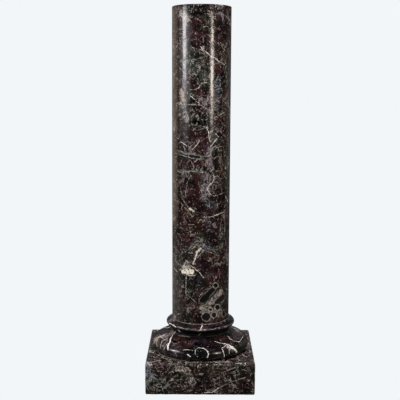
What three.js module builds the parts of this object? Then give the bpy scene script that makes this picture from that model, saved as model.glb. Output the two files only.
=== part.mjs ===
// A turned marble column: a plain round shaft on a moulded base, on a square plinth.
// Millimetres, +Z up, origin at the centre of the underside, front face towards -Y.

import * as THREE from "three";
import { RoundedBoxGeometry } from "three/addons/geometries/RoundedBoxGeometry.js";

// Square plinth
const plinthWidth = 300;
const plinthHeight = 88;
const plinthEase = 4; // radius that wear has given its edges

// Open bed between two stones that rest on each other
const bedJoint = 0.3;

// Lower round of the moulded base, the torus
const torusRadius = 137.8; // its widest line
const torusUndercut = 17.8; // how far it draws in again down to its foot
const torusUnderHeight = 14.3; // foot to widest line
const torusRound = 20.8; // how far it draws in up to its shoulder
const torusUpperHeight = 22.2; // widest line to shoulder

// Hollow between the torus and the neck
const hollowReach = 14.3; // the flat end of its curve, out from the neck
const hollowRise = 18.3;
const neckRise = 10.4; // straight neck above the hollow

// Ring at the top of the moulded base: the part of an ellipse that stands proud of the neck
const ringReach = 16.4; // how far it stands out from the neck
const ringInset = 12.9; // neck face to the ellipse's centre, inwards
const ringBelow = 13.4; // half heights of the ellipse
const ringAbove = 12.4;

// Shaft, which is straight and as wide as the neck
const shaftRadius = 81.2;
const shaftLength = 872;
const shaftEase = 3; // rounding of its top edge

// Fineness of the faceted surfaces
const turnedSides = 72;
const curveSteps = 4;
const plinthEaseSteps = 3;

const torusTop = torusUnderHeight + torusUpperHeight;
const ringFoot = torusTop + hollowRise + neckRise;
const ringMeets = Math.acos(ringInset / (ringInset + ringReach)); // angle at which the ellipse meets the neck
const ringCentre = ringFoot + ringBelow * Math.sin(ringMeets);
const baseHeight = ringCentre + ringAbove * Math.sin(ringMeets);
const baseBed = plinthHeight + bedJoint;
const shaftBed = baseBed + baseHeight + bedJoint;
const quarterTurn = Math.PI / 2;

const marble = (color, roughness) => new THREE.MeshStandardMaterial({ color, roughness, metalness: 0 });

// A solid of revolution about Z from a half outline of radius and height, drawn from the axis up to the axis.
function turned(name, outline, height, material) {
  const geometry = new THREE.LatheGeometry(outline.getPoints(curveSteps), turnedSides);
  const mesh = new THREE.Mesh(geometry.rotateX(quarterTurn), material);
  mesh.name = name;
  mesh.position.z = height;
  return mesh;
}

function plinth() {
  const block = new RoundedBoxGeometry(plinthWidth, plinthWidth, plinthHeight, plinthEaseSteps, plinthEase);
  const mesh = new THREE.Mesh(block, marble(0x4a3f3c, 0.3));
  mesh.name = "plinth";
  mesh.position.z = plinthHeight / 2;
  return mesh;
}

function mouldedBase() {
  const torusFoot = torusRadius - torusUndercut;
  const torusShoulder = torusRadius - torusRound;
  const ringMiddle = shaftRadius - ringInset;
  const ringSemi = ringInset + ringReach;
  const outline = new THREE.Path();
  outline.moveTo(0, 0);
  outline.lineTo(torusFoot, 0);
  outline.absellipse(torusFoot, torusUnderHeight, torusUndercut, torusUnderHeight, -quarterTurn, 0);
  outline.absellipse(torusShoulder, torusUnderHeight, torusRound, torusUpperHeight, 0, quarterTurn);
  outline.quadraticCurveTo(shaftRadius + hollowReach, torusTop, shaftRadius, torusTop + hollowRise);
  outline.lineTo(shaftRadius, ringFoot);
  outline.absellipse(ringMiddle, ringCentre, ringSemi, ringBelow, -ringMeets, 0);
  outline.absellipse(ringMiddle, ringCentre, ringSemi, ringAbove, 0, ringMeets);
  outline.lineTo(0, baseHeight);
  return turned("moulded_base", outline, baseBed, marble(0x3b302f, 0.2));
}

function shaft() {
  const outline = new THREE.Path();
  outline.moveTo(0, 0);
  outline.lineTo(shaftRadius, 0);
  outline.lineTo(shaftRadius, shaftLength - shaftEase);
  outline.absellipse(shaftRadius - shaftEase, shaftLength - shaftEase, shaftEase, shaftEase, 0, quarterTurn);
  outline.lineTo(0, shaftLength);
  return turned("shaft", outline, shaftBed, marble(0x352a29, 0.2));
}

const column = new THREE.Group();
column.add(plinth(), mouldedBase(), shaft());

export default column;
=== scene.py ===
import math
import bmesh
import bpy
from mathutils import Matrix, Vector, noise
from mathutils.bvhtree import BVHTree


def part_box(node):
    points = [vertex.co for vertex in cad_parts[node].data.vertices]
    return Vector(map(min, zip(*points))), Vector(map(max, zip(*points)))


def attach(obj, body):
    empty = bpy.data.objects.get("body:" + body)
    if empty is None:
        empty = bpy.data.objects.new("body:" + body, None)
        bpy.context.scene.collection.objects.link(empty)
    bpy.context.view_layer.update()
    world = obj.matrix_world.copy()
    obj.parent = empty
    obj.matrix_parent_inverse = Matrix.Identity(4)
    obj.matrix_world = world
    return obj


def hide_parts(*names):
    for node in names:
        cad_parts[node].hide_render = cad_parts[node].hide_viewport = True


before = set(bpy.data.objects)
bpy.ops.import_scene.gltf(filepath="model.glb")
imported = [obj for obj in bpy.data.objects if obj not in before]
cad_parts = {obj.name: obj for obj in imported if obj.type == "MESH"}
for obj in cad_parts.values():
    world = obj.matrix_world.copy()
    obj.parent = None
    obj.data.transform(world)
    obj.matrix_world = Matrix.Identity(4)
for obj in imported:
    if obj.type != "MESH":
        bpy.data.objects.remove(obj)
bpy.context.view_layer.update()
print("frame loaded:", sorted(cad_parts))

scene = bpy.context.scene
scene.view_settings.view_transform = "Standard"
millimetre = 0.001

# colours as they look on screen, 0 to 255
palette = {
    "nearBlack": (11, 10, 11),
    "blackGreen": (22, 25, 21),
    "blackBrown": (30, 23, 20),
    "blueBlack": (20, 26, 30),
    "maroon": (62, 32, 33),
    "redBrown": (78, 46, 38),
    "brown": (70, 52, 42),
    "orangeBrown": (77, 54, 37),
    "purple": (60, 42, 56),
    "olive": (66, 63, 48),
    "greenGrey": (62, 70, 60),
    "blueGrey": (62, 66, 76),
    "lilacGrey": (86, 79, 84),
    "paleBlue": (92, 97, 106),
    "pinkGrey": (112, 98, 92),
    "paleGrey": (128, 122, 114),
    "lace": (195, 190, 185),
    "veinAndHighlightGrey": (184, 178, 167),
    "white": (224, 219, 210),
    "cream": (248, 241, 222),
    "peach": (206, 184, 168),
}


def colour(name):  # from screen values to the light that they stand for
    return tuple(c / 12.92 if c <= 0.04045 else ((c + 0.055) / 1.055) ** 2.4
                 for c in (value / 255 for value in palette[name])) + (1.0,)


# the camera, where the photographer stood
view = {
    "frame": 400,  # pixels across
    "focal": 758.8,  # pixels
    "sensor": 36,  # millimetres
    "place": (0, -2.1222, 0.83538),
    "pitch": -8.537,  # degrees, as yaw and roll
    "yaw": 0.0727,
    "roll": 0.252,
}

cameraData = bpy.data.cameras.new("camera")
cameraData.sensor_width = view["sensor"]
cameraData.lens = view["sensor"] * view["focal"] / view["frame"]
camera = bpy.data.objects.new("camera", cameraData)
scene.collection.objects.link(camera)
aim = (Matrix.Rotation(math.radians(view["yaw"]), 3, "Z")
       @ Matrix.Rotation(math.radians(90 + view["pitch"]), 3, "X")
       @ Matrix.Rotation(math.radians(view["roll"]), 3, "Z"))
camera.matrix_world = Matrix.Translation(view["place"]) @ aim.to_4x4()
scene.camera = camera


def pixelRay(x, y):
    middle = view["frame"] / 2
    ray = aim @ Vector(((x - middle) / view["focal"], (middle - y) / view["focal"], -1))
    return Vector(view["place"]), ray.normalized()


# shader building blocks

def put(tree, socket, value):
    if isinstance(value, bpy.types.NodeSocket):
        tree.links.new(value, socket)
    elif value is not None:
        socket.default_value = value


def calc(tree, operation, a, b=None, c=None):
    node = tree.nodes.new("ShaderNodeMath")
    node.operation = operation
    for socket, value in zip(node.inputs, (a, b, c)):
        put(tree, socket, value)
    return node.outputs[0]


def vector(tree, operation, a, b=None, scale=None):
    node = tree.nodes.new("ShaderNodeVectorMath")
    node.operation = operation
    put(tree, node.inputs[0], a)
    put(tree, node.inputs[1], b)
    put(tree, node.inputs[3], scale)
    return node.outputs["Value" if operation in ("DOT_PRODUCT", "DISTANCE", "LENGTH") else "Vector"]


def fade(tree, value, start, end, low=0.0, high=1.0):
    node = tree.nodes.new("ShaderNodeMapRange")
    node.interpolation_type = "SMOOTHSTEP"
    for socket, number in zip(node.inputs, (value, start, end, low, high)):
        put(tree, socket, number)
    return node.outputs[0]


def mix(tree, factor, a, b, mode="MIX"):
    node = tree.nodes.new("ShaderNodeMix")
    node.data_type = "RGBA"
    node.blend_type = mode
    put(tree, node.inputs[0], factor)
    put(tree, node.inputs[6], a)
    put(tree, node.inputs[7], b)
    return node.outputs[2]


def cloud(tree, point, size, detail=2.0, roughness=0.5, output="Fac"):
    node = tree.nodes.new("ShaderNodeTexNoise")
    put(tree, node.inputs["Vector"], point)
    node.inputs["Scale"].default_value = 1 / size
    node.inputs["Detail"].default_value = detail
    node.inputs["Roughness"].default_value = roughness
    return node.outputs[output]


def cells(tree, point, size, feature="F1"):
    node = tree.nodes.new("ShaderNodeTexVoronoi")
    node.feature = feature
    put(tree, node.inputs["Vector"], point)
    node.inputs["Scale"].default_value = 1 / size
    return node.outputs


def channel(tree, value, axis):
    node = tree.nodes.new("ShaderNodeSeparateXYZ")
    put(tree, node.inputs[0], value)
    return node.outputs[axis]


def ramp(tree, value, stops):
    node = tree.nodes.new("ShaderNodeValToRGB")
    elements = node.color_ramp.elements
    while len(elements) < len(stops):
        elements.new(1.0)
    for element, (place, name) in zip(elements, stops):
        element.position = place
        element.color = colour(name)
    put(tree, node.inputs[0], value)
    return node.outputs[0]


def groupTree(name, inputs, outputs):
    tree = bpy.data.node_groups.new(name, "ShaderNodeTree")
    for title, kind in inputs:
        tree.interface.new_socket(title, in_out="INPUT", socket_type="NodeSocket" + kind)
    for title, kind in outputs:
        tree.interface.new_socket(title, in_out="OUTPUT", socket_type="NodeSocket" + kind)
    return tree, tree.nodes.new("NodeGroupInput").outputs, tree.nodes.new("NodeGroupOutput").inputs


def useGroup(tree, group, **values):
    node = tree.nodes.new("ShaderNodeGroup")
    node.node_tree = group
    for title, value in values.items():
        put(tree, node.inputs[title], value)
    return node.outputs


# how far a point lies from a straight stroke, counted in half widths of the stroke
strokeGroup, given, result = groupTree(
    "placed_stroke", [("Point", "Vector"), ("From", "Vector"), ("To", "Vector"), ("Width", "Float")],
    [("Reach", "Float")])
along = vector(strokeGroup, "SUBTRACT", given["To"], given["From"])
offset = vector(strokeGroup, "SUBTRACT", given["Point"], given["From"])
share = calc(strokeGroup, "DIVIDE", vector(strokeGroup, "DOT_PRODUCT", offset, along),
             vector(strokeGroup, "DOT_PRODUCT", along, along))
between = strokeGroup.nodes.new("ShaderNodeClamp")
put(strokeGroup, between.inputs[0], share)
nearest = vector(strokeGroup, "SCALE", along, scale=between.outputs[0])
put(strokeGroup, result["Reach"],
    calc(strokeGroup, "DIVIDE", vector(strokeGroup, "DISTANCE", offset, nearest), given["Width"]))

# a round piece rolled out flat: around it, and up its side and inwards;
# its far half is the near half mirrored and moved up
rolledOut = {
    "farShift": 0.37,  # how far up, as a share of the height
    "veinsFrom": (0.02, 0.2),  # depth over radius at which the veins fade in from the sides
    "blotsFrom": (0.0, -0.15),  # the same for the blots, on the near half only
}
rollGroup, given, result = groupTree(
    "rolled_out",
    [("Point", "Vector")] + [(title, "Float") for title in ("Radius", "Foot", "Widest", "Height")],
    [("Flat", "Vector"), ("Seam", "Float"), ("Front", "Float")])
level = vector(rollGroup, "MULTIPLY", given["Point"], (1, 1, 0))
inwards = calc(rollGroup, "SUBTRACT", given["Widest"], vector(rollGroup, "LENGTH", level))
sideways = vector(rollGroup, "NORMALIZE", level)
angle = calc(rollGroup, "ARCSINE", channel(rollGroup, sideways, "X"))
depth = channel(rollGroup, sideways, "Y")
climb = calc(rollGroup, "MULTIPLY", calc(rollGroup, "GREATER_THAN", depth, 0),
             calc(rollGroup, "MULTIPLY", given["Height"], rolledOut["farShift"]))
up = calc(rollGroup, "SUBTRACT", channel(rollGroup, given["Point"], "Z"), given["Foot"])
up = calc(rollGroup, "ADD", calc(rollGroup, "ADD", up, inwards), climb)
flat = rollGroup.nodes.new("ShaderNodeCombineXYZ")
put(rollGroup, flat.inputs[0], calc(rollGroup, "MULTIPLY", angle, given["Radius"]))
put(rollGroup, flat.inputs[1], calc(rollGroup, "WRAP", up, given["Height"], 0))
put(rollGroup, result["Flat"], flat.outputs[0])
put(rollGroup, result["Seam"], fade(rollGroup, calc(rollGroup, "ABSOLUTE", depth), *rolledOut["veinsFrom"]))
put(rollGroup, result["Front"], fade(rollGroup, depth, *rolledOut["blotsFrom"]))


def flatSpot(spot, roll):
    if not roll:
        return Vector((spot.x, spot.z, spot.y))
    across = math.hypot(spot.x, spot.y)
    return Vector((roll["Radius"] * math.asin(spot.x / across),
                   spot.z - roll["Foot"] + roll["Widest"] - across, 0))


# where the photograph's pixels lie on a piece, in the flat millimetres of its veins

def onPiece(body, roll, pixels):
    spots = []
    for x, y in pixels:
        hit = body.ray_cast(*pixelRay(x, y))[0]
        if hit is not None:
            spots.append(flatSpot(hit / millimetre, roll))
    return spots


def strokeReach(tree, point, start, end, halfWidth):
    return useGroup(tree, strokeGroup, Point=point, From=start, To=end, Width=halfWidth)["Reach"]


def nearestStroke(tree, point, body, roll, veins):
    reach = None
    for halfWidth, *pixels in veins.values():
        spots = onPiece(body, roll, pixels)
        for start, end in zip(spots, spots[1:]):
            one = strokeReach(tree, point, start, end, halfWidth)
            reach = one if reach is None else calc(tree, "MINIMUM", reach, one)
    return reach


def shaken(tree, point, wobble, far):
    return vector(tree, "ADD", point, vector(tree, "SCALE", wobble, scale=far))


# what the three stones share: sizes and distances in millimetres,
# and fades that run from one value to another, with their low and high ends
breccia = {
    "foldSize": 40, "fold": 34,  # wide folds of the whole pattern
    "crinkleSize": 7, "crinkle": 8,  # small breaks in it
    "patchFold": 8,  # how far the folds move a placed patch
    "flatDepth": -60,  # on the plinth, how far in front of its middle the placed veins are whole
    "raggedSize": 7, "ragged": (1.1, -0.55),  # uneven outlines of patches, stones and blots
    "patchEdge": (1.25, 0.6),  # soft edge of a patch, in half widths
    "driftEnds": (0.33, 0.67),
    "vigourSize": 17, "vigour": (0.3, 0.65, 0.45, 1),  # weaker and stronger lace
    "grainShake": 3, "grainEnds": (0.3, 0.72),
    "ownTint": (0.55, 0.95, 0, 0.6),  # how many dark stones take a tint of their own
    "paleLift": (0.02, 0.1, 1, 1.7),  # stones in the pale zones are lighter
    "fringe": (7, 1.5, 0, 0.5),  # more lace beside the white veins
    "lineCore": 0.5, "lineRim": 1.3,  # full and last tint of a lace line, in half widths
    "densityPull": 0.16, "gapSoftness": 0.1,
    "netGaps": 0.7, "curlGaps": 1.1,  # size of the gaps, as a share of the pattern's
    "dotEdge": (0.12, 0.34, 1, 0), "dotChance": (0.55, 0.9),
    "laceGrain": (0.34, 0.62, 0.45, 1), "laceLift": 2.6,
    "recessShadeEdge": (3, 2),  # how far the painted recess shade fades out beyond its heights and within them
    "highlightLineEdge": (0.6, 1.4), "highlightLineGrain": (0.3, 0.6, 0.4, 1),
    "sawnEdge": 0.5,
    "stoneRagged": 0.35, "stoneRim": 1.12, "stoneBody": (1.05, 0.85, 0, 0.97),
    "rimWidth": (1.7, 0.5),  # last and full tint of a stone's rim
    "swellSize": 8, "swell": (0.3, 0.7, 1.9, 0.7),  # veins and painted highlight lines run thinner and thicker
    "lineEdge": (0.5, 1.25), "lineGrain": (0.3, 0.55, 0.6, 1), "whiteStrength": 0.9,
    "blotRagged": 2.2, "blotEdge": (0.75, 1.15),
    "stainSize": 5, "stainGrain": (0.3, 0.5), "stainEnds": (0.36, 0.5), "stainTint": (0.35, 1),
    "hazeSize": 10, "hazeEnds": (0.45, 0.7),
    "veinRoughness": 0.14, "recessRoughness": 0.5, "recessShine": (0.5, 0.12),
    "refraction": 1.5,
    "bumpDepth": 0.1, "waveSize": 16, "waveHeight": 6, "pitSize": 2.6,
}


# a lace line, broken where the lace is thin
def brokenLine(tree, line, folded, density, size, gaps, gap):
    patchy = calc(tree, "MULTIPLY_ADD", density, breccia["densityPull"],
                  cloud(tree, vector(tree, "ADD", folded, (0, 0, 5 * size)), size * gaps, 1))
    return calc(tree, "MULTIPLY", line, fade(tree, patchy, gap, gap + breccia["gapSoftness"]))


def marble(name, look, body, roll=None):
    material = bpy.data.materials.new(name)
    material.use_nodes = True
    tree = material.node_tree
    shader = tree.nodes["Principled BSDF"]
    point = vector(tree, "SCALE", tree.nodes.new("ShaderNodeTexCoord").outputs["Object"],
                   scale=1 / millimetre)
    half = (0.5, 0.5, 0.5)
    bend = vector(tree, "SUBTRACT", cloud(tree, point, breccia["foldSize"], 2, 0.5, "Color"), half)
    crinkle = vector(tree, "SUBTRACT", cloud(tree, point, breccia["crinkleSize"], 1, 0.4, "Color"), half)
    folded = shaken(tree, point, bend, breccia["fold"])
    broken = shaken(tree, folded, crinkle, breccia["crinkle"])

    # where the placed veins and patches are looked up
    if roll:
        rolled = useGroup(tree, rollGroup, Point=point, **roll)
        sheet, seam, front = rolled["Flat"], rolled["Seam"], rolled["Front"]
    else:
        axes = tree.nodes.new("ShaderNodeSeparateXYZ")
        put(tree, axes.inputs[0], point)
        flat = tree.nodes.new("ShaderNodeCombineXYZ")
        put(tree, flat.inputs[0], axes.outputs["X"])
        put(tree, flat.inputs[1], axes.outputs["Z"])
        put(tree, flat.inputs[2], axes.outputs["Y"])
        sheet = flat.outputs[0]
        seam = front = fade(tree, axes.outputs["Y"], 0, breccia["flatDepth"])
    shaky = shaken(tree, sheet, crinkle, look["veinShake"])
    loose = shaken(tree, shaky, bend, breccia["patchFold"])

    # the tint of each zone, then the patches that the photograph shows
    zone = ramp(tree, cloud(tree, folded, look["zoneSize"], 3, 0.6), look["zones"])
    ragged = calc(tree, "MULTIPLY_ADD", cloud(tree, broken, breccia["raggedSize"], 2), *breccia["ragged"])
    for tint, halfWidth, start, end in look["patches"].values():
        spots = onPiece(body, roll, (start, end))
        if len(spots) == 2:
            reach = strokeReach(tree, loose, *spots, halfWidth)
            cover = fade(tree, calc(tree, "ADD", reach, ragged), *breccia["patchEdge"],
                         0, look["patchStrength"])
            zone = mix(tree, calc(tree, "MULTIPLY", cover, seam), zone, colour(tint))
    brightness = tree.nodes.new("ShaderNodeRGBToBW")
    put(tree, brightness.inputs[0], zone)
    density = fade(tree, brightness.outputs[0], *look["laceBrightness"])
    drift = cloud(tree, vector(tree, "ADD", folded, (0, 0, 300)), look["driftSize"], 2, 0.6)
    density = calc(tree, "ADD", density, fade(tree, drift, *breccia["driftEnds"], *look["drift"]))
    vigour = cloud(tree, vector(tree, "ADD", folded, (300, 0, 0)), breccia["vigourSize"], 1)
    vigour = fade(tree, vigour, *breccia["vigour"])

    # dark broken stones
    stone = cells(tree, broken, look["stoneSize"])["Color"]
    tone = fade(tree, channel(tree, stone, "X"), 0, 1, *look["stoneTone"])
    grain = cloud(tree, shaken(tree, point, crinkle, breccia["grainShake"]), look["grainSize"], 3, 0.75)
    tone = calc(tree, "MULTIPLY", tone, fade(tree, grain, *breccia["grainEnds"], *look["grainTone"]))
    tinted = mix(tree, fade(tree, channel(tree, stone, "Z"), *breccia["ownTint"]), zone,
                 ramp(tree, channel(tree, stone, "Y"), look["stones"]))
    tone = calc(tree, "MULTIPLY", tone, fade(tree, brightness.outputs[0], *breccia["paleLift"]))
    skin = vector(tree, "SCALE", tinted, scale=tone)

    # pale lace between the stones: nets of broken lines, closer and whiter in the pale zones
    nearWhite = nearestStroke(tree, shaky, body, roll, look["whiteVeins"])
    nearFaint = nearestStroke(tree, shaky, body, roll, look["faintLines"])
    fringe = calc(tree, "MULTIPLY", fade(tree, nearWhite, *breccia["fringe"]), seam)
    density = calc(tree, "ADD", density, fringe)
    core, rim = breccia["lineCore"], breccia["lineRim"]
    lace = None
    for size, halfWidth, gap, strength in look["nets"]:
        net = cells(tree, vector(tree, "ADD", broken, (size, 3 * size, 0)), size, "DISTANCE_TO_EDGE")
        line = fade(tree, net["Distance"], core * halfWidth / size, rim * halfWidth / size, strength, 0)
        line = brokenLine(tree, line, folded, density, size, breccia["netGaps"], gap)
        lace = line if lace is None else calc(tree, "MAXIMUM", lace, line)
    for size, halfWidth, gap, strength in look["curls"]:
        swirl = cloud(tree, vector(tree, "ADD", folded, (0, 2 * size, 0)), size, 2, 0.55)
        edge = calc(tree, "ABSOLUTE", calc(tree, "SUBTRACT", swirl, 0.5))
        line = fade(tree, edge, core * halfWidth, rim * halfWidth, strength, 0)
        line = brokenLine(tree, line, folded, density, size, breccia["curlGaps"], gap)
        lace = calc(tree, "MAXIMUM", lace, line)
    fleck = cells(tree, broken, look["fleckSize"])
    dots = calc(tree, "MULTIPLY", fade(tree, fleck["Distance"], *breccia["dotEdge"]),
                fade(tree, channel(tree, fleck["Color"], "X"), *breccia["dotChance"], 0, look["flecks"]))
    lace = calc(tree, "MULTIPLY", lace, vigour)
    lace = calc(tree, "MULTIPLY", lace, fade(tree, grain, *breccia["laceGrain"]))
    lace = calc(tree, "MAXIMUM", lace, dots)
    laceTint = mix(tree, look["laceWhite"], vector(tree, "SCALE", zone, scale=breccia["laceLift"]),
                   colour("lace"))
    laceTint = vector(tree, "SCALE", laceTint, scale=look["laceLevel"])
    skin = mix(tree, lace, skin, laceTint)

    # painted shade darkening the deep recess, and painted highlight lines along edges, each at a height
    rise, dull = channel(tree, point, "Z"), None
    beyond, within = breccia["recessShadeEdge"]
    # each band mixes near-black into the colour: a painted shade in the recess under the ring
    for start, end, strength in look.get("paintedRecessShade", []):
        depth = calc(tree, "MULTIPLY", fade(tree, rise, start - beyond, start + within, 0, 1),
                     fade(tree, rise, end - within, end + beyond, strength, 0))
        skin = mix(tree, depth, skin, colour("blackBrown"), "MULTIPLY")
        dull = depth if dull is None else calc(tree, "MAXIMUM", dull, depth)
    core, rim = breccia["highlightLineEdge"]
    # each line mixes pale grey into the colour at one height: a painted highlight
    for height, halfWidth, strength in look.get("highlightLines", []):
        away = calc(tree, "ABSOLUTE", calc(tree, "SUBTRACT", rise, height))
        line = calc(tree, "MULTIPLY", fade(tree, away, core * halfWidth, rim * halfWidth, strength, 0),
                    fade(tree, grain, *breccia["highlightLineGrain"]))
        skin = mix(tree, line, skin, colour("veinAndHighlightGrey"))

    # a top that is only sawn: dull and dusty
    sawn = None
    if "sawn" in look:
        height, dust, rough = look["sawn"]
        sawn = fade(tree, rise, height - breccia["sawnEdge"], height)
        skin = mix(tree, calc(tree, "MULTIPLY", sawn, dust), skin, colour("lilacGrey"))

    # the placed dark stones, each with a pale rim
    for tint, halfWidth, rim, start, end in look.get("darkStones", {}).values():
        spots = onPiece(body, roll, (start, end))
        if len(spots) == 2:
            reach = strokeReach(tree, shaky, *spots, halfWidth)
            reach = calc(tree, "MULTIPLY_ADD", ragged, breccia["stoneRagged"], reach)
            edge = calc(tree, "ABSOLUTE", calc(tree, "SUBTRACT", reach, breccia["stoneRim"]))
            inside = calc(tree, "MULTIPLY", fade(tree, reach, *breccia["stoneBody"]), seam)
            skin = mix(tree, inside, skin, colour(tint))
            last, full = (width / halfWidth for width in breccia["rimWidth"])
            outer = calc(tree, "MULTIPLY", fade(tree, edge, last, full, 0, rim), seam)
            skin = mix(tree, outer, skin, colour("veinAndHighlightGrey"))

    # the placed veins and painted highlight lines, thinner and thicker along their length
    swell = fade(tree, cloud(tree, broken, breccia["swellSize"], 2, 0.6), *breccia["swell"])
    mask = lace
    for reach, tint, strength in ((nearFaint, "veinAndHighlightGrey", look["faintStrength"]),
                                  (nearWhite, "white", breccia["whiteStrength"])):
        line = fade(tree, calc(tree, "MULTIPLY", reach, swell), *breccia["lineEdge"], strength, 0)
        line = calc(tree, "MULTIPLY", line, seam)
        line = calc(tree, "MULTIPLY", line, fade(tree, grain, *breccia["lineGrain"]))
        skin = mix(tree, line, skin, colour(tint))
        mask = calc(tree, "MAXIMUM", mask, line)
    for tint, strength, halfWidth, start, end in look.get("blots", {}).values():
        reach = strokeReach(tree, shaky, *onPiece(body, roll, (start, end)), halfWidth)
        reach = calc(tree, "MULTIPLY_ADD", ragged, breccia["blotRagged"], reach)
        blot = calc(tree, "MULTIPLY", fade(tree, reach, *breccia["blotEdge"], strength, 0), front)
        stain = calc(tree, "MULTIPLY", fade(tree, grain, *breccia["stainGrain"]),
                     fade(tree, cloud(tree, point, breccia["stainSize"], 1), *breccia["stainEnds"]))
        mottle = mix(tree, fade(tree, stain, 0, 1, *breccia["stainTint"]), colour("olive"), colour(tint))
        skin = mix(tree, blot, skin, mottle)
        mask = calc(tree, "MAXIMUM", mask, blot)

    # polish: uneven, a little duller on the veins, and gone in the recess with the painted shade and where
    # the top is sawn
    evenRoughness, grainRoughness = look["roughness"]
    gloss = calc(tree, "MULTIPLY_ADD", grain, grainRoughness, evenRoughness)
    haze = cloud(tree, broken, breccia["hazeSize"], 2)
    gloss = calc(tree, "ADD", gloss, fade(tree, haze, *breccia["hazeEnds"], 0, look["haze"]))
    gloss = calc(tree, "MULTIPLY_ADD", mask, breccia["veinRoughness"], gloss)
    if sawn is not None:
        gloss = calc(tree, "MULTIPLY_ADD", sawn, rough, gloss)
    if dull is not None:
        gloss = calc(tree, "MULTIPLY_ADD", dull, breccia["recessRoughness"], gloss)
        put(tree, shader.inputs["Specular IOR Level"], fade(tree, dull, 0, 1, *breccia["recessShine"]))
    put(tree, shader.inputs["Roughness"], gloss)
    put(tree, shader.inputs["Base Color"], skin)
    shader.inputs["IOR"].default_value = breccia["refraction"]
    bump = tree.nodes.new("ShaderNodeBump")
    bump.inputs["Strength"].default_value = look["bump"]
    bump.inputs["Distance"].default_value = breccia["bumpDepth"] * millimetre
    wave = calc(tree, "MULTIPLY_ADD", cloud(tree, point, breccia["waveSize"], 1), breccia["waveHeight"],
                cloud(tree, point, breccia["pitSize"], 2))
    put(tree, bump.inputs["Height"], wave)
    put(tree, shader.inputs["Normal"], bump.outputs[0])
    return material


finish = {
    "merge": 0.001,  # millimetres
    "sharpFrom": 40,  # degrees between two faces
}


def finishPiece(name, bm, node):
    bmesh.ops.remove_doubles(bm, verts=bm.verts, dist=finish["merge"] * millimetre)
    bmesh.ops.recalc_face_normals(bm, faces=bm.faces)
    for face in bm.faces:
        face.smooth = True
    mesh = bpy.data.meshes.new(name)
    bm.to_mesh(mesh)
    mesh.set_sharp_from_angle(angle=math.radians(finish["sharpFrom"]))
    body = BVHTree.FromBMesh(bm)
    bm.free()
    piece = bpy.data.objects.new(name, mesh)
    scene.collection.objects.link(piece)
    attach(piece, "root")
    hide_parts(node)
    print("made", name, "with", len(mesh.polygons), "faces")
    return piece, body


# turned pieces: half an outline of radius and height from axis to axis, spun about the axis

def arc(middle, height, across, up, start, end, steps):
    turns = [math.radians(start + (end - start) * step / steps) for step in range(steps + 1)]
    return [(middle + across * math.cos(turn), height + up * math.sin(turn)) for turn in turns]


def turned(outline, foot, sides):
    bm = bmesh.new()
    spots = [bm.verts.new((radius * millimetre, 0, foot + height * millimetre)) for radius, height in outline]
    edges = [bm.edges.new(pair) for pair in zip(spots, spots[1:])]
    bmesh.ops.spin(bm, geom=spots + edges, cent=(0, 0, 0), axis=(0, 0, 1), dvec=(0, 0, 0),
                   angle=math.tau, steps=sides, use_merge=True, use_duplicate=False)
    return bm


# shaft

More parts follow.
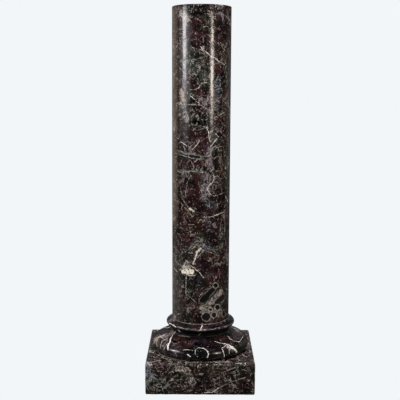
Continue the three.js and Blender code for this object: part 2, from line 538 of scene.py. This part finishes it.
shaft = {
    "radius": 81.2, "length": 872, "topEase": 2, "flare": 0.9, "flareHeight": 5, "arris": 0.5,
    "flareCurve": (0.35, 0.45),  # its middle, as shares of the flare and its height
    "sides": 256, "rows": 30, "easeSteps": 6,
    # size of the zones of tint, and the tints along the pattern's range
    "zoneSize": 62,
    "zones": [(0.34, "blackGreen"), (0.42, "olive"), (0.46, "blackBrown"), (0.5, "maroon"),
              (0.54, "brown"), (0.58, "maroon"), (0.66, "lilacGrey")],
    "stones": [(0.0, "blackGreen"), (0.3, "maroon"), (0.5, "blueGrey"), (0.75, "blackBrown"),
               (1.0, "purple")],
    "stoneSize": 15, "stoneTone": (0.1, 0.66), "fleckSize": 5, "flecks": 0.5,
    "laceLevel": 1, "laceWhite": 0.6,
    "grainSize": 3, "grainTone": (0.3, 1.6),
    # darkest and palest zone, and how much lace each has
    "laceBrightness": (0.018, 0.075, -0.35, 0.8),
    "driftSize": 30, "drift": (-0.35, 0.35),
    # size of the net, half width of its lines, how broken they are, strength
    "nets": [(22, 0.65, 0.54, 1), (10, 0.55, 0.55, 0.95)],
    # the same for curling lines, their widths as a share of the pattern's slope
    "curls": [(15, 0.012, 0.55, 1), (8, 0.015, 0.57, 0.95)],
    "veinShake": 5,
    "faintStrength": 0.7,
    "patchStrength": 0.8,
    "roughness": (0.09, 0.12), "haze": 0.14,
    "bump": 0.7,
    # a painted highlight line just above the shaft's bed: height, half width, strength
    "highlightLines": [(178.2, 1.1, 0.28)],
    # height from which the top is only sawn, how dusty it is and how much rougher
    "sawn": (1048.7, 0.22, 0.5),
    # tint, half width in millimetres, and the two ends in pixels of the photograph
    "patches": {
        "topDark": ("blackBrown", 9, (216, 23), (224, 24)),
        # denser pale lace, partly the stone's own lace and partly a painted widening of the highlight at the
        # top
        "topLaceAndGlow": ("paleGrey", 8, (181, 13), (187, 20)),
        "topMaroon": ("maroon", 14, (217, 35), (228, 38)),
        "leftMaroon": ("maroon", 15, (192, 34), (204, 36)),
        "ochre": ("orangeBrown", 14, (221, 52), (223, 61)),
        "speckledGreen": ("greenGrey", 24, (192, 62), (205, 73)),
        "redBand": ("maroon", 12, (191, 83), (204, 94)),
        "blueBand": ("blueGrey", 12, (218, 80), (219, 92)),
        "rightOlive": ("brown", 13, (225, 92), (226, 108)),
        "darkOlive": ("blackGreen", 8, (189, 101), (196, 101)),
        "lilac": ("lilacGrey", 10, (216, 99), (216, 107)),
        "redStreak": ("maroon", 13, (198, 106), (201, 113)),
        "whiteLace": ("paleGrey", 8, (182, 103), (187, 119)),
        "maroonLow": ("maroon", 12, (177, 124), (179, 138)),
        "darkPool": ("blueBlack", 12, (202, 117), (206, 122)),
        "wideMaroon": ("maroon", 24, (184, 134), (202, 140)),
        "purpleShadow": ("purple", 9, (203, 144), (206, 149)),
        "greenRight": ("brown", 16, (221, 150), (223, 160)),
        "greenLine": ("greenGrey", 6, (179, 152), (202, 157)),
        "maroonLeft": ("maroon", 12, (180, 162), (200, 164)),
        "lilacRise": ("lilacGrey", 9, (209, 150), (210, 168)),
        "greenLace": ("greenGrey", 6, (178, 171), (206, 171.5)),
        "stripedRed": ("maroon", 24, (189, 182), (194, 200)),
        "paleMiddle": ("lilacGrey", 15, (206, 178), (205, 198)),
        "ochreRight": ("orangeBrown", 18, (220, 170), (221, 184)),
        "blueMiddle": ("blueGrey", 13, (208, 203), (214, 206)),
        "redRight": ("maroon", 12, (221, 198), (223, 205)),
        "redLeft": ("redBrown", 17, (182, 210), (186, 217)),
        "pebbles": ("redBrown", 26, (186, 228), (192, 242)),
        "purpleHaze": ("purple", 12, (208, 218), (209, 232)),
        "blueLow": ("blueGrey", 14, (205, 243), (208, 247)),
        "greenLow": ("greenGrey", 12, (222, 232), (222, 243)),
        "fanHaze": ("olive", 12, (202, 239), (184, 252)),
        "oliveLow": ("olive", 20, (176, 258), (186, 259)),
        "redLow": ("redBrown", 13, (211, 256), (216, 258)),
        "purpleLow": ("purple", 14, (200, 262), (203, 268)),
        "wideRed": ("maroon", 25, (208, 272), (220, 276)),
        "darkLow": ("blackGreen", 22, (188, 282), (200, 284)),
        "greyBand": ("paleGrey", 9, (221, 292), (203, 308)),
        "ringedLace": ("paleGrey", 14, (205, 311), (219, 312)),
        "pinkFoot": ("brown", 15, (179, 303), (190, 305)),
        "darkFoot": ("blackBrown", 9, (178, 315), (187, 316)),
    },
    # tint, half width, strength of the pale rim, and the two ends
    "darkStones": {
        "lozenge": ("nearBlack", 7.5, 0.3, (202.2, 300.2), (212.6, 289.8)),
        "lozengeFoot": ("nearBlack", 9.5, 0, (203, 300), (206, 297)),
        "star": ("nearBlack", 6.5, 0.5, (215.5, 285), (216.2, 285.8)),
        "shadedBar": ("blackBrown", 7, 0.1, (216.5, 302), (223.5, 297)),
        "bigRound": ("nearBlack", 11, 0.3, (205.8, 316.5), (206.4, 316.9)),
        "smallRound": ("nearBlack", 7.5, 0.5, (217.3, 307.2), (218, 307.6)),
        "paleRound": ("blackGreen", 4.6, 0.5, (210.2, 309.4), (210.8, 309.8)),
        "lowRound": ("nearBlack", 7, 0.5, (213.7, 314.8), (214.4, 315.2)),
        "sideRound": ("nearBlack", 6.5, 0.3, (223.4, 312.5), (224, 314.5)),
        "blotShadow": ("blackBrown", 3, 0.1, (191, 273), (193.2, 272.8)),
        "greenPocket": ("blueBlack", 4, 0.2, (190, 156), (199, 157.3)),
        "roundGreen": ("blackGreen", 7, 0.2, (212.8, 135), (213.4, 136.5)),
    },
    # half width in millimetres, then the pixels that the vein runs through
    "whiteVeins": {
        "topFork": (1.23, (199.8, 46), (203.3, 49.6), (207.4, 52.7), (210.5, 56.3), (214.5, 57.6),
                    (218, 60.8), (225.2, 65.2)),
        "topTwin": (0.98, (202.4, 45.6), (207.4, 53.6)),
        "redEdge": (0.74, (188, 89), (193, 90.3), (198.4, 88), (201.5, 83.2), (205.6, 82.3), (210.5, 85)),
        "forked": (0.9, (187.2, 93), (190, 95.7), (194.8, 99.7), (197.5, 102), (198.9, 103.7)),
        "hook": (1.15, (215.4, 133.7), (218.5, 136.8), (216.3, 139.5), (213.2, 143.5), (210.8, 147)),
        "veeLeft": (0.8, (181, 141.8), (189.9, 147.2), (192.2, 149.8)),
        "veeRight": (1.23, (192.2, 149.8), (196.6, 145.4), (199.8, 140)),
        "milkyDrop": (1.89, (206.5, 127), (208.2, 131.5)),
        "milkyTail": (1.07, (208.2, 131.5), (209.1, 138.6), (210.5, 142.2)),
        "sCurve": (0.98, (212.7, 173), (214.5, 177.6), (212.7, 182), (208.2, 186.5), (207.4, 190),
                   (211, 194.6)),
        "palePebble": (2.62, (190, 209), (193.5, 211)),
        "rightArm": (0.98, (202.4, 217.4), (205.6, 217.4), (212.7, 216.5), (218, 214.3), (223.5, 212)),
        "wideFold": (3, (201, 248.7), (197.5, 251.4), (195.8, 256)),
        "foldTail": (1.56, (195.8, 256), (193, 264.8)),
        "edgeDash": (0.9, (225.2, 195.5), (228, 202.6)),
        "hatLeft": (1.23, (186.3, 260.4), (184, 265.7), (179.6, 270.2)),
        "hatRight": (1.23, (186.3, 260.4), (190.4, 265.7), (194.8, 268.4), (198.4, 271.5)),
        "leftArm": (0.98, (173.4, 264.7), (175, 269.5), (178.5, 272.5)),
        "rightTail": (0.98, (197, 269.8), (200.2, 273.4), (203.3, 277.8)),
        "lowerEdge": (1.15, (188, 275.4), (194.8, 275.6)),
        "lozengeEdge": (0.9, (205, 290.5), (198.4, 297.5)),
    },
    "faintLines": {
        "topStar": (1.1, (195.7, 17.8), (200.2, 20)),
        "topTick": (1, (203.8, 27.2), (207.8, 26.3)),
        "topFleck": (1, (207.4, 13.4), (211, 14.7), (210, 17)),
        "topArc": (0.9, (220.8, 12.5), (226, 16), (228, 19.6)),
        "leftTick": (1.2, (179.6, 29), (183.6, 29.5)),
        "topBranch": (1, (216.7, 58), (219.4, 63.5), (220.8, 68)),
        "topDash": (1.2, (206.5, 40.2), (210, 42), (212.7, 43.3)),
        "topRight": (1, (217.6, 42.4), (220.8, 45.6), (225.2, 50.5)),
        "topRightTwin": (0.9, (219.4, 42), (225.2, 47.4)),
        "shortTwin": (1, (199.3, 48.7), (203.8, 51.8)),
        "leftDiagonal": (1, (176, 63.5), (181.4, 69.7), (185.9, 74.2)),
        "leafLeft": (0.9, (191.7, 47), (194, 49), (194.8, 51.8)),
        "curlOne": (0.9, (193, 59.4), (197.5, 59.9)),
        "curlTwo": (0.9, (190, 64.4), (191.7, 61.7), (194.8, 60.8)),
        "blueSlant": (0.9, (214.5, 81.4), (218.5, 76.9)),
        "blueTick": (1.5, (216.8, 89.2), (218.6, 88.8)),
        "blueHem": (0.8, (216.3, 89.4), (221.7, 88.5), (222.6, 92), (219.4, 99.3), (218, 102.8)),
        "forkedArm": (1, (195.7, 99.7), (199.3, 96.6)),
        "forkedTip": (0.9, (197.5, 98.4), (201, 99.7), (202.4, 97)),
        "longThin": (1.1, (176, 103.7), (181.4, 104.2), (189.5, 104.6), (200.2, 105), (203.8, 107.3),
                     (209.6, 110.4)),
        "bent": (1, (197.5, 114.5), (198.9, 118), (196.6, 124.3), (192.6, 127.9)),
        "poolLine": (1.1, (200.2, 119.8), (205.6, 119.4), (208.2, 119)),
        "poolRise": (1, (206.5, 112.7), (207.4, 116.2)),
        "shelfRight": (1, (214.5, 117.6), (219, 115.4), (225.2, 111.3)),
        "shelfTwin": (0.8, (218, 116.7), (221.7, 117.1), (225.2, 114.5)),
        "hookTop": (0.9, (208.7, 133.2), (212.7, 130.1), (216.7, 129.7)),
        "veeTwin": (0.9, (189.9, 147.2), (193.5, 143.5), (196.6, 140)),
        "sideShelf": (1, (213.2, 146.7), (218, 147.2), (221.7, 146.3)),
        "greenUpper": (1.1, (177.4, 150.7), (182.3, 151.6), (184, 153.9), (189.5, 153.9),
                       (195.7, 153.4), (201.5, 154.8)),
        "greenLower": (1, (177.8, 153.4), (185.9, 156.5), (193, 158.3), (203.8, 159.2)),
        "riser": (1, (191.3, 161), (194, 166.8), (192.2, 169.5)),
        "dashLeft": (0.9, (203.3, 161.5), (201.5, 169.5)),
        "dashRight": (0.8, (205.6, 162.5), (206, 167)),
        "whiteFleck": (1.2, (214.5, 158.8), (216.7, 156.5)),
        "laceLine": (1.3, (177.8, 170.9), (182.3, 173.1), (185.9, 171.8), (191.3, 171.3), (198.4, 170.9)),
        "turnBranch": (0.9, (211, 183), (213.6, 189.2)),
        "rise": (1, (211, 194.6), (213.6, 195.9), (218, 195), (223.5, 192.8)),
        "stripe": (1, (189.5, 177.6), (187.2, 183), (185.9, 190), (185.4, 197.2)),
        "ovalRim": (0.8, (178.5, 180), (181, 190), (182, 198), (188, 207)),
        "lightGreen": (0.8, (216.3, 199), (217.6, 206.2)),
        "longSlant": (1, (178.7, 200.8), (183.2, 205.3), (188.6, 211.2), (192.2, 217.4)),
        "rayOne": (0.8, (201, 219.2), (198, 222.5)),
        "rayTwo": (0.8, (201, 219.2), (203.8, 222.5)),
        "leftShelf": (1, (188.6, 224.6), (194.4, 224.6)),
        "streakRight": (0.8, (221.8, 218), (219.8, 231)),
        "leftDash": (0.9, (180.5, 237), (181.9, 241.6)),
        "fanOne": (0.8, (203.8, 237), (194.8, 242.5), (188.6, 249.6), (178.7, 256.8)),
        "fanTwo": (0.8, (201, 240.5), (192, 249)),
        "foldArm": (0.8, (201, 248.7), (206.5, 251.4), (212.7, 253.2), (219, 255.9)),
        "foldTwin": (1.1, (203.8, 250.3), (199.5, 255), (197, 259)),
        "foldTick": (1.1, (188.1, 252.7), (192.2, 253.2)),
        "rightTick": (1, (220.3, 248.7), (222.6, 245.1)),
        "plumb": (1.6, (186.3, 276.5), (185.9, 286), (185.9, 294)),
        "plumbRight": (0.9, (213.6, 273.4), (214, 280.5)),
        "slantLong": (0.8, (212.7, 283.2), (205, 290.5)),
        "slantTwin": (0.8, (197.5, 292), (203.8, 286.8)),
        "footLine": (1, (189.5, 295.7), (194.8, 302), (202, 304.7)),
        "leftFootLine": (0.9, (179.6, 290.4), (179.2, 296.6)),
    },
    # tint, strength, half width and the two ends
    "blots": {
        "creamShoulder": ("cream", 0.45, 5, (184, 267), (189, 267.5)),
        "creamBody": ("cream", 0.97, 6.6, (182.8, 271.5), (192, 271.6)),
        "peach": ("peach", 0.6, 8.5, (181.6, 91.5), (182.8, 99)),
    },
}

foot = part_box("shaft")[0][2]
radius, length, flare = shaft["radius"], shaft["length"], shaft["flare"]
ease, (flareOut, flareUp) = shaft["topEase"], shaft["flareCurve"]
outline = [(0, 0), (radius + flare - shaft["arris"], 0), (radius + flare, shaft["arris"]),
           (radius + flareOut * flare, flareUp * shaft["flareHeight"]), (radius, shaft["flareHeight"])]
outline += [(radius, length * row / shaft["rows"]) for row in range(1, shaft["rows"])]
outline += arc(radius - ease, length - ease, ease, ease, 0, 90, shaft["easeSteps"])
outline += [(0, length)]
shaftPiece, shaftBody = finishPiece("shaft_stone", turned(outline, foot, shaft["sides"]),
                                    "shaft")
shaftPiece.data.materials.append(marble(
    "polished_shaft", shaft, shaftBody,
    {"Radius": radius, "Foot": foot / millimetre, "Widest": radius + flare,
     "Height": length + radius + flare}))
print("shaft finished")

# moulded base

base = {
    "torusRadius": 137.8, "torusUndercut": 17.8, "torusUnder": 14.3, "torusRound": 20.8,
    "torusUpper": 22.2, "hollowReach": 14.3, "hollowRise": 18.3, "neckRise": 10.4, "neckRadius": 81.2,
    "ringReach": 16.4, "ringInset": 12.9, "ringBelow": 13.4, "ringAbove": 12.4,
    "sides": 256, "footSteps": 12, "shoulderSteps": 16, "hollowSteps": 16, "neckSteps": 4,
    "ringSteps": 12, "footRim": 40, "topRim": 30,  # width of the outer part of the flat beds
    "veinRadius": 100,  # where the rolled-out veins have their true width
    "zoneSize": 55,
    "zones": [(0.34, "blackGreen"), (0.44, "blueBlack"), (0.49, "maroon"), (0.53, "blackBrown"),
              (0.58, "purple"), (0.66, "lilacGrey")],
    "stones": [(0.0, "blueBlack"), (0.3, "maroon"), (0.5, "blackGreen"), (0.75, "purple"),
               (1.0, "greenGrey")],
    "stoneSize": 15, "stoneTone": (0.08, 0.6), "fleckSize": 6, "flecks": 0.4,
    "laceLevel": 1, "laceWhite": 0.6,
    "grainSize": 3, "grainTone": (0.3, 1.6),
    "laceBrightness": (0.018, 0.075, -0.9, 0.7),
    "driftSize": 30, "drift": (-0.6, 0.1),
    "nets": [(22, 0.65, 0.56, 1), (10, 0.55, 0.57, 0.95)],
    "curls": [(15, 0.012, 0.57, 1), (8, 0.015, 0.59, 0.95)],
    "veinShake": 1.8,
    "faintStrength": 0.85,
    "patchStrength": 0.85,
    "roughness": (0.09, 0.12), "haze": 0.1,
    "bump": 0.5,
    # painted shade: the neck and the ring's underside darkened between these heights, with its strength
    "paintedRecessShade": [(142, 164.5, 0.95)],
    "patches": {
        "redHollow": ("redBrown", 14, (178, 340), (190, 343)),
        "purpleHollow": ("purple", 12, (192, 341), (210, 341)),
        "neckRed": ("redBrown", 8, (216, 338), (226, 337)),
        "brownStone": ("redBrown", 12, (235, 336), (241, 338)),
        "darkFront": ("blueBlack", 22, (188, 354), (206, 356)),
        "darkFrontRight": ("blackGreen", 20, (212, 354), (234, 354)),
        "leftPale": ("pinkGrey", 17, (153.5, 340), (166, 330)),
        "ringGrey": ("lilacGrey", 7, (178, 328), (228, 328)),
        "greenSide": ("greenGrey", 9, (232, 350), (240, 344)),
    },
    "whiteVeins": {
        "leftRise": (2.2, (175.4, 331.5), (172.9, 334.2), (170.8, 338), (169.9, 342.5), (168, 349.8)),
        "sweepStart": (1, (214.6, 341.3), (221, 343), (228.3, 344.5)),
        "sweepNeck": (1.6, (224, 343.6), (229, 344.6)),
        "sweep": (3.2, (229.5, 345.5), (233, 348), (236.6, 351.6)),
        "sweepBranch": (0.8, (226.5, 344.6), (221.6, 348.6), (223.4, 352), (223.8, 358)),
        "loopTop": (1.5, (198.3, 347.7), (203.5, 348.2)),
        "loopRight": (0.95, (203.5, 348.2), (207.4, 351), (208.6, 354), (207.4, 357.5)),
        "paleBlob": (1.5, (188, 354.6), (190.4, 356.6)),
        "ringTop": (1.3, (202.4, 324.5), (200.6, 330)),
        "leftKnot": (2, (169.6, 323.2), (172.5, 324.6), (175.5, 327)),
    },
    "faintLines": {
        "ringTail": (1, (200.6, 330), (198.6, 335)),
        "loopLeft": (0.6, (198.3, 347.7), (195.3, 350), (195, 353.5), (197.5, 356.8)),
        "leftLoose": (0.9, (183, 350), (188, 349.5), (192.5, 350.5)),
        "sideStep": (1, (229, 347.5), (229, 354)),
        "rightHook": (1.1, (228, 336), (231, 339), (234, 341), (239, 342), (242, 338), (243.5, 334)),
        "rightTick": (1.2, (227.5, 335.5), (230.5, 339.5)),
        "leftSlantOne": (1.3, (152.5, 338), (158, 330)),
        "leftSlantTwo": (1.4, (154.5, 343), (163.5, 330.5)),
        "leftSlantThree": (1.4, (157, 346.5), (166.5, 333)),
        "leftSlantFour": (1.2, (160.5, 348.5), (168, 338)),
        "leftSlantFive": (1, (164, 349.5), (168, 343.5)),
        "leftTop": (0.9, (160, 332), (166, 327.5), (170, 326)),
        # a painted highlight dash on the torus's front
        "frontHighlightDash": (1.2, (172, 350.3), (179, 351.3)),
        # a painted highlight along the hollow below the ring
        "slopeGlint": (0.9, (178, 335.5), (184, 336), (190, 337)),
    },
}

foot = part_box("moulded_base")[0][2]
torusTop = base["torusUnder"] + base["torusUpper"]
hollowTop = torusTop + base["hollowRise"]
ringFoot = hollowTop + base["neckRise"]
ringMeets = math.degrees(math.acos(base["ringInset"] / (base["ringInset"] + base["ringReach"])))
ringMiddle = ringFoot + base["ringBelow"] * math.sin(math.radians(ringMeets))
ringTop = ringMiddle + base["ringAbove"] * math.sin(math.radians(ringMeets))
torusFoot = base["torusRadius"] - base["torusUndercut"]
shoulder = base["torusRadius"] - base["torusRound"]
neck = base["neckRadius"]
outline = [(0, 0), (torusFoot - base["footRim"], 0)]
outline += arc(torusFoot, base["torusUnder"], base["torusUndercut"], base["torusUnder"],
               -90, 0, base["footSteps"])
outline += arc(shoulder, base["torusUnder"], base["torusRound"], base["torusUpper"],
               0, 90, base["shoulderSteps"])[1:]
for step in range(base["hollowSteps"]):  # leaves the shoulder flat and ends upright at the neck
    t = (step + 1) / base["hollowSteps"]
    bow = 2 * t * (1 - t) * (neck + base["hollowReach"])
    outline.append(((1 - t) ** 2 * shoulder + bow + t * t * neck, torusTop + t * t * base["hollowRise"]))
outline += [(neck, hollowTop + base["neckRise"] * step / base["neckSteps"])
            for step in range(1, base["neckSteps"])]
semi = base["ringInset"] + base["ringReach"]
outline += arc(neck - base["ringInset"], ringMiddle, semi, base["ringBelow"],
               -ringMeets, 0, base["ringSteps"])
outline += arc(neck - base["ringInset"], ringMiddle, semi, base["ringAbove"],
               0, ringMeets, base["ringSteps"])[1:]
outline += [(neck - base["topRim"], ringTop), (0, ringTop)]
basePiece, baseBody = finishPiece("moulded_base_stone", turned(outline, foot, base["sides"]),
                                  "moulded_base")
basePiece.data.materials.append(marble(
    "polished_base", base, baseBody,
    {"Radius": base["veinRadius"], "Foot": foot / millimetre, "Widest": base["torusRadius"],
     "Height": ringTop + base["torusRadius"] - neck}))
print("moulded base finished")

# plinth

plinth = {
    "width": 300, "height": 88, "ease": 4, "easeSteps": 5,
    "gridStep": 5, "shortest": 20,  # squares of the faces, and the shortest edge that is cut
    "wear": 0.9, "wearPattern": 60, "wearLeast": 0.35,  # depth, closeness and steady part of the wear
    "zoneSize": 42,
    "zones": [(0.34, "blackBrown"), (0.41, "olive"), (0.45, "maroon"), (0.5, "blackBrown"),
              (0.53, "brown"), (0.57, "maroon"), (0.66, "purple")],
    "stones": [(0.0, "blackBrown"), (0.3, "redBrown"), (0.5, "greenGrey"), (0.75, "blackBrown"),
               (1.0, "maroon")],
    "stoneSize": 12, "stoneTone": (0.03, 0.4), "fleckSize": 5, "flecks": 0.6,
    "laceLevel": 1.6, "laceWhite": 0.5,
    "grainSize": 3, "grainTone": (0.2, 1.8),
    "laceBrightness": (0.01, 0.06, -0.55, 0.35),
    "driftSize": 22, "drift": (-0.4, 0.4),
    "nets": [(18, 0.6, 0.52, 1), (9, 0.55, 0.52, 1)],
    "curls": [(13, 0.013, 0.53, 1), (7, 0.016, 0.55, 1)],
    "veinShake": 4,
    "faintStrength": 0.7,
    "patchStrength": 0.75,
    "roughness": (0.19, 0.14), "haze": 0.1,
    "bump": 0.5,
    # a faint painted highlight line along the plinth's top edges: height, half width, strength
    "highlightLines": [(85.8, 1.2, 0.05)],
    "patches": {
        "topRed": ("maroon", 10, (154, 358), (164, 359)),
        "topOlive": ("greenGrey", 14, (150.5, 351), (154, 340)),
        "blueLeft": ("paleBlue", 18, (147, 368), (151, 377)),
        "greenLeft": ("greenGrey", 20, (150, 384), (164, 386)),
        # a pale band along the top front edge: painted sheen
        "topFrontSheen": ("pinkGrey", 6, (186, 362), (234, 362)),
        "brownMiddle": ("brown", 22, (200, 370), (222, 372)),
        "darkLow": ("blackBrown", 14, (196, 386), (206, 382)),
        "redCorner": ("maroon", 12, (157, 367), (166, 367)),
        "paleStone": ("paleGrey", 9, (178, 369), (182, 370)),
        "pinkBand": ("pinkGrey", 10, (187, 371), (192, 383)),
        "redRight": ("maroon", 14, (238, 384), (247, 384)),
    },
    "whiteVeins": {
        "sweepLow": (1.3, (204, 392.6), (212, 392.4), (218, 388.5)),
        "edgeDash": (1.5, (236, 363.5), (241, 363.4)),
    },
    "faintLines": {
        "sweep": (1.1, (218, 388.5), (230, 382), (246, 377.4)),
        "cross": (1.1, (230, 376), (231.8, 383), (237, 388.6)),
        "smallRing": (0.9, (211.4, 381.4), (213, 379.8), (214.6, 381.4), (213, 383), (211.4, 381.4)),
        "leftSlant": (1, (168, 374), (176, 369)),
        "leftLow": (1, (160, 390), (170, 384)),
        "redRim": (0.9, (155, 366), (158, 371.5), (166, 372), (169.5, 368)),
        "footArc": (2.4, (156.5, 350.3), (160, 353.8), (166, 356.8), (176, 359.5), (187, 361.2)),
        "footArcTwin": (1.2, (158, 355), (164, 358), (172, 360.4)),
        "topShelf": (1, (152, 362), (160, 360)),
        "rightRise": (0.9, (224, 372), (236, 367)),
    },
}

width, height = plinth["width"] * millimetre, plinth["height"] * millimetre
block = bmesh.new()
bmesh.ops.create_cube(block, size=1)
bmesh.ops.scale(block, vec=(width, width, height), verts=block.verts)
bmesh.ops.translate(block, vec=(0, 0, height / 2), verts=block.verts)
bmesh.ops.bevel(block, geom=block.edges[:], offset=plinth["ease"] * millimetre, offset_type="OFFSET",
                segments=plinth["easeSteps"], profile=0.5, affect="EDGES", material=-1)
for axis in range(3):  # each face cut in small squares, so that wear can move them
    along = [edge for edge in block.edges if edge.calc_length() > plinth["shortest"] * millimetre
             and abs((edge.verts[0].co - edge.verts[1].co).normalized()[axis]) > 0.99]
    cuts = round(along[0].calc_length() / millimetre / plinth["gridStep"]) - 1
    bmesh.ops.subdivide_edges(block, edges=along, cuts=cuts, use_grid_fill=True)
block.normal_update()
for vert in block.verts:  # wear rubs the edges down unevenly and never adds to them
    inset = sorted((abs(vert.co.x) - width / 2, abs(vert.co.y) - width / 2,
                    abs(vert.co.z - height / 2) - height / 2))
    nearEdge = max(0, 1 + (inset[1] + inset[2]) / (2 * plinth["ease"] * millimetre))
    rub = max(0, noise.noise(vert.co * plinth["wearPattern"]) + plinth["wearLeast"]) * nearEdge
    vert.co -= vert.normal * rub * plinth["wear"] * millimetre
plinthPiece, plinthBody = finishPiece("plinth_stone", block, "plinth")
plinthPiece.data.materials.append(marble("polished_plinth", plinth, plinthBody))
print("plinth finished")

# stage: a plain pale floor, and the same pale light behind everything

stage = {
    "pale": (0.887, 0.921, 0.947, 1),
    "floorSize": 60,
    "floorBounce": (0.03, 0.028, 0.026, 1), "floorRoughness": 0.9,
    "floorDrop": 0.5,  # millimetres below the underside
    "surround": (0.05, 0.05, 0.055, 1),
}


def cameraOrElse(tree, seen, otherwise):
    chooser = tree.nodes.new("ShaderNodeMixShader")
    put(tree, chooser.inputs[0], tree.nodes.new("ShaderNodeLightPath").outputs["Is Camera Ray"])
    put(tree, chooser.inputs[1], otherwise)
    put(tree, chooser.inputs[2], seen)
    return chooser.outputs[0]


floorMaterial = bpy.data.materials.new("floor")
floorMaterial.use_nodes = True
tree = floorMaterial.node_tree
shader = tree.nodes["Principled BSDF"]
shader.inputs["Base Color"].default_value = stage["floorBounce"]
shader.inputs["Roughness"].default_value = stage["floorRoughness"]
glow = tree.nodes.new("ShaderNodeEmission")
glow.inputs["Color"].default_value = stage["pale"]
put(tree, tree.nodes["Material Output"].inputs["Surface"],
    cameraOrElse(tree, glow.outputs[0], shader.outputs[0]))
floorMesh = bpy.data.meshes.new("floor")
sheet = bmesh.new()
bmesh.ops.create_grid(sheet, x_segments=1, y_segments=1, size=stage["floorSize"] / 2)
sheet.to_mesh(floorMesh)
sheet.free()
floorMesh.materials.append(floorMaterial)
floor = bpy.data.objects.new("floor", floorMesh)
floor.location.z = -stage["floorDrop"] * millimetre
scene.collection.objects.link(floor)

world = bpy.data.worlds.new("surround")
world.use_nodes = True
scene.world = world
tree = world.node_tree
around = tree.nodes["Background"]
around.inputs["Color"].default_value = stage["surround"]
backdrop = tree.nodes.new("ShaderNodeBackground")
backdrop.inputs["Color"].default_value = stage["pale"]
put(tree, tree.nodes["World Output"].inputs["Surface"],
    cameraOrElse(tree, backdrop.outputs[0], around.outputs[0]))

# soft lights: place, size across and up, brightness, tint
lights = {
    "leftWindow": ((-1.86, -0.75, 1.11), (0.5, 0.5), 15.5, (0.99, 0.96, 1)),
    "leftSill": ((-1.88, -0.7, 0.79), (0.36, 0.14), 0.6, (1, 0.98, 0.97)),
    "leftWall": ((-2.1, -0.5, 1.0), (1.5, 0.9), 0.85, (1, 0.96, 0.95)),
    "leftFlank": ((-1.72, -1.32, 0.97), (0.7, 0.66), 1.3, (1, 0.97, 0.96)),
    "leftFloor": ((-1.0, 0.45, 0.02), (1.1, 1.4), 0.28, (1, 0.96, 0.9)),
    "rightWindow": ((1.29, -1.53, 0.93), (0.27, 0.44), 27, (1, 0.89, 0.79)),
    "rightSill": ((1.29, -1.53, 0.66), (0.22, 0.1), 3, (1, 0.89, 0.79)),
    "frontHigh": ((0.2, -2.4, 2.7), (3.2, 2.2), 2.95, (1, 0.98, 0.96)),
    "backLeft": ((-2.0, 1.5, 0.65), (2.0, 1.5), 0.7, (1, 0.78, 0.6)),
    "backRight": ((2.2, 1.6, 0.5), (2.0, 1.2), 0.16, (0.95, 1, 0.8)),
    "backWall": ((0, 2.6, 1.0), (2.6, 1.1), 0.09, (1, 1, 1)),
    "backHigh": ((-0.2, 2.4, 2.7), (3.2, 2.2), 2.2, (1, 0.98, 0.96)),
    "overhead": ((0, -0.2, 3.2), (2.4, 2.4), 9, (1, 1, 1)),
}
softFills = ("frontHigh", "backHigh", "overhead")  # the polish doesn't mirror them
highestAim = 0.9  # metres; a light below lampFloor lies on the floor and faces up
lampFloor = 0.1
for name, (place, size, brightness, tint) in lights.items():
    lamp = bpy.data.lights.new(name, "AREA")
    lamp.shape = "RECTANGLE"
    lamp.size, lamp.size_y = size
    lamp.energy = brightness * math.pi * size[0] * size[1]
    lamp.color = tint
    light = bpy.data.objects.new(name, lamp)
    scene.collection.objects.link(light)
    place = Vector(place)
    target = Vector((0, 0, min(place.z, highestAim))) if place.z > lampFloor else place + Vector((0, 0, 1))
    light.location = place
    light.rotation_euler = (place - target).to_track_quat("Z", "Y").to_euler()
    light.visible_camera = False
    light.visible_glossy = name not in softFills
print("stage lit")
